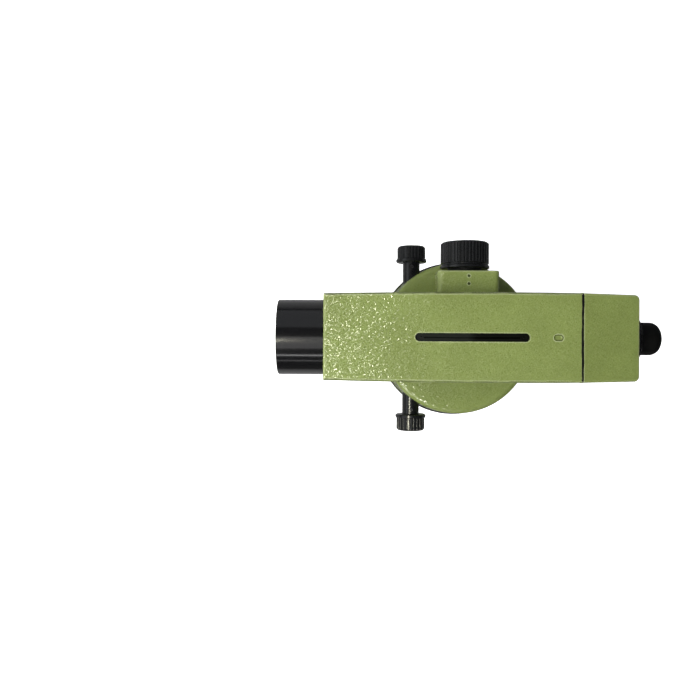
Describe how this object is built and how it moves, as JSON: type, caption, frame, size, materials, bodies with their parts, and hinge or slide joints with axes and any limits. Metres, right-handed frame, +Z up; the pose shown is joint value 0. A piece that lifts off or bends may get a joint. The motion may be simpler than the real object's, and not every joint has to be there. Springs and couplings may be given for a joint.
{
  "type": "automatic level",
  "caption": "Surveying telescope on a levelling base, with a pendulum compensator, rack focusing and a worm drive.",
  "frame": {"origin": "on the vertical axis, at the ground face of the base plate", "axes": "+Z up along the vertical axis, +X along the line of sight towards the eyepiece, +Y towards the focusing knob"},
  "size_m": [0.2678, 0.142, 0.134],
  "materials": {
    "green_paint": "die cast, painted in fine wrinkle green",
    "black_paint": "turned, painted in satin black",
    "black_plastic": "satin",
    "rubber": "matt",
    "glass": "polished",
    "steel": "turned",
    "brass": "turned"
  },
  "bodies": {
    "base": {"base_plate": "green_paint", "spring_plate": "steel", "spring_plate_screws": "steel"},
    "tribrach": {"tribrach": "green_paint", "foot_bushes": "brass", "foot_balls_rear": "steel", "spindle": "steel", "spindle_screw": "steel", "wheel_ring": "steel", "clutch_spring": "steel"},
    "foot_ball_front": {"foot_ball_front": "steel"},
    "foot_screw_front": {"foot_screw_front": "black_plastic"},
    "foot_screw_left": {"foot_screw_left": "black_plastic"},
    "foot_screw_right": {"foot_screw_right": "black_plastic"},
    "circle": {"horizontal_circle": "black_paint"},
    "drive_wheel": {"worm_wheel": "brass"},
    "telescope": {"hood": "green_paint", "hood_screws": "steel", "bearing_sleeve": "brass", "worm_bracket": "brass", "telescope_housing": "green_paint", "rear_cover": "green_paint", "rear_cover_screws": "steel", "cover_gasket": "rubber", "objective_tube": "black_paint", "objective_lens": "glass", "objective_ring": "black_paint", "guide_tube": "black_paint", "focus_bush": "black_paint", "focus_bush_screws": "steel", "compensator_frame": "black_paint", "fixed_prisms": "glass", "suspension_wires": "steel", "damper_cylinder": "brass", "eyepiece_mount": "black_paint", "reticle_cell": "black_paint", "reticle": "glass", "reticle_screws": "steel", "sight_bar": "black_paint", "adjuster_plug": "green_paint", "bubble_cup": "brass", "bubble_vial": "glass", "bubble_prism": "glass", "bubble_bezel": "black_paint"},
    "drive_shaft": {"drive_shaft": "steel", "drive_knob_left": "black_plastic", "drive_knob_right": "black_plastic", "drive_grub_screws": "steel"},
    "focus_cell": {"focus_cell": "brass", "focusing_lens": "glass", "focus_rack": "brass"},
    "focus_knob": {"focus_knob": "black_plastic", "focus_pinion": "steel", "focus_knob_screw": "black_plastic"},
    "pendulum": {"pendulum": "brass", "pendulum_prism": "glass"},
    "dioptre_ring": {"dioptre_ring": "black_plastic", "eyecup": "rubber"},
    "eyepiece_barrel": {"eyepiece_barrel": "brass", "eyepiece_lenses": "glass"}
  },
  "joints": [
    {"name": "level_tilt", "type": "hinge", "parent": "base", "child": "tribrach", "pos_m": [0.0215, 0, 0.006], "axis": [0, 1, 0], "range_deg": [-2, 2]},
    {"name": "foot_travel_front", "type": "slide", "parent": "tribrach", "child": "foot_ball_front", "axis": [0, 0, 1], "range_m": [-0.0023, 0.0023]},
    {"name": "foot_turn_front", "type": "hinge", "parent": "foot_ball_front", "child": "foot_screw_front", "pos_m": [-0.043, 0, 0.02], "axis": [0, 0, 1], "continuous": true},
    {"name": "foot_turn_left", "type": "hinge", "parent": "tribrach", "child": "foot_screw_left", "pos_m": [0.0215, -0.03724, 0.02], "axis": [0, 0, 1], "continuous": true},
    {"name": "foot_turn_right", "type": "hinge", "parent": "tribrach", "child": "foot_screw_right", "pos_m": [0.0215, 0.03724, 0.02], "axis": [0, 0, 1], "continuous": true},
    {"name": "circle_turn", "type": "hinge", "parent": "tribrach", "child": "circle", "pos_m": [0, 0, 0.039], "axis": [0, 0, 1], "continuous": true},
    {"name": "coarse_turn", "type": "hinge", "parent": "tribrach", "child": "drive_wheel", "pos_m": [0, 0, 0.05], "axis": [0, 0, 1], "continuous": true},
    {"name": "fine_turn", "type": "hinge", "parent": "drive_wheel", "child": "telescope", "pos_m": [0, 0, 0.05], "axis": [0, 0, 1], "continuous": true},
    {"name": "drive_turn", "type": "hinge", "parent": "telescope", "child": "drive_shaft", "pos_m": [-0.0338, 0, 0.05], "axis": [0, 1, 0], "continuous": true},
    {"name": "focus_turn", "type": "hinge", "parent": "telescope", "child": "focus_knob", "pos_m": [0.0005, 0, 0.093], "axis": [0, 1, 0], "range_deg": [0, 344]},
    {"name": "focus_travel", "type": "slide", "parent": "telescope", "child": "focus_cell", "axis": [1, 0, 0], "range_m": [0, 0.018]},
    {"name": "compensator_swing", "type": "hinge", "parent": "telescope", "child": "pendulum", "pos_m": [0.04, 0, 0.1235], "axis": [0, 1, 0], "range_deg": [-0.3, 0.3]},
    {"name": "dioptre_turn", "type": "hinge", "parent": "telescope", "child": "dioptre_ring", "pos_m": [0.12, 0, 0.1], "axis": [1, 0, 0], "range_deg": [-151, 151]},
    {"name": "eyepiece_travel", "type": "slide", "parent": "telescope", "child": "eyepiece_barrel", "axis": [1, 0, 0], "range_m": [-0.0011, 0.0011]}
  ],
  "couplings": [
    {"joint": "foot_travel_front", "follows": "level_tilt", "m_per_rad": -0.0645},
    {"joint": "drive_turn", "follows": "fine_turn", "ratio": -90},
    {"joint": "focus_turn", "follows": "focus_travel", "rad_per_m": 333.33},
    {"joint": "dioptre_turn", "follows": "eyepiece_travel", "rad_per_m": 2381}
  ]
}
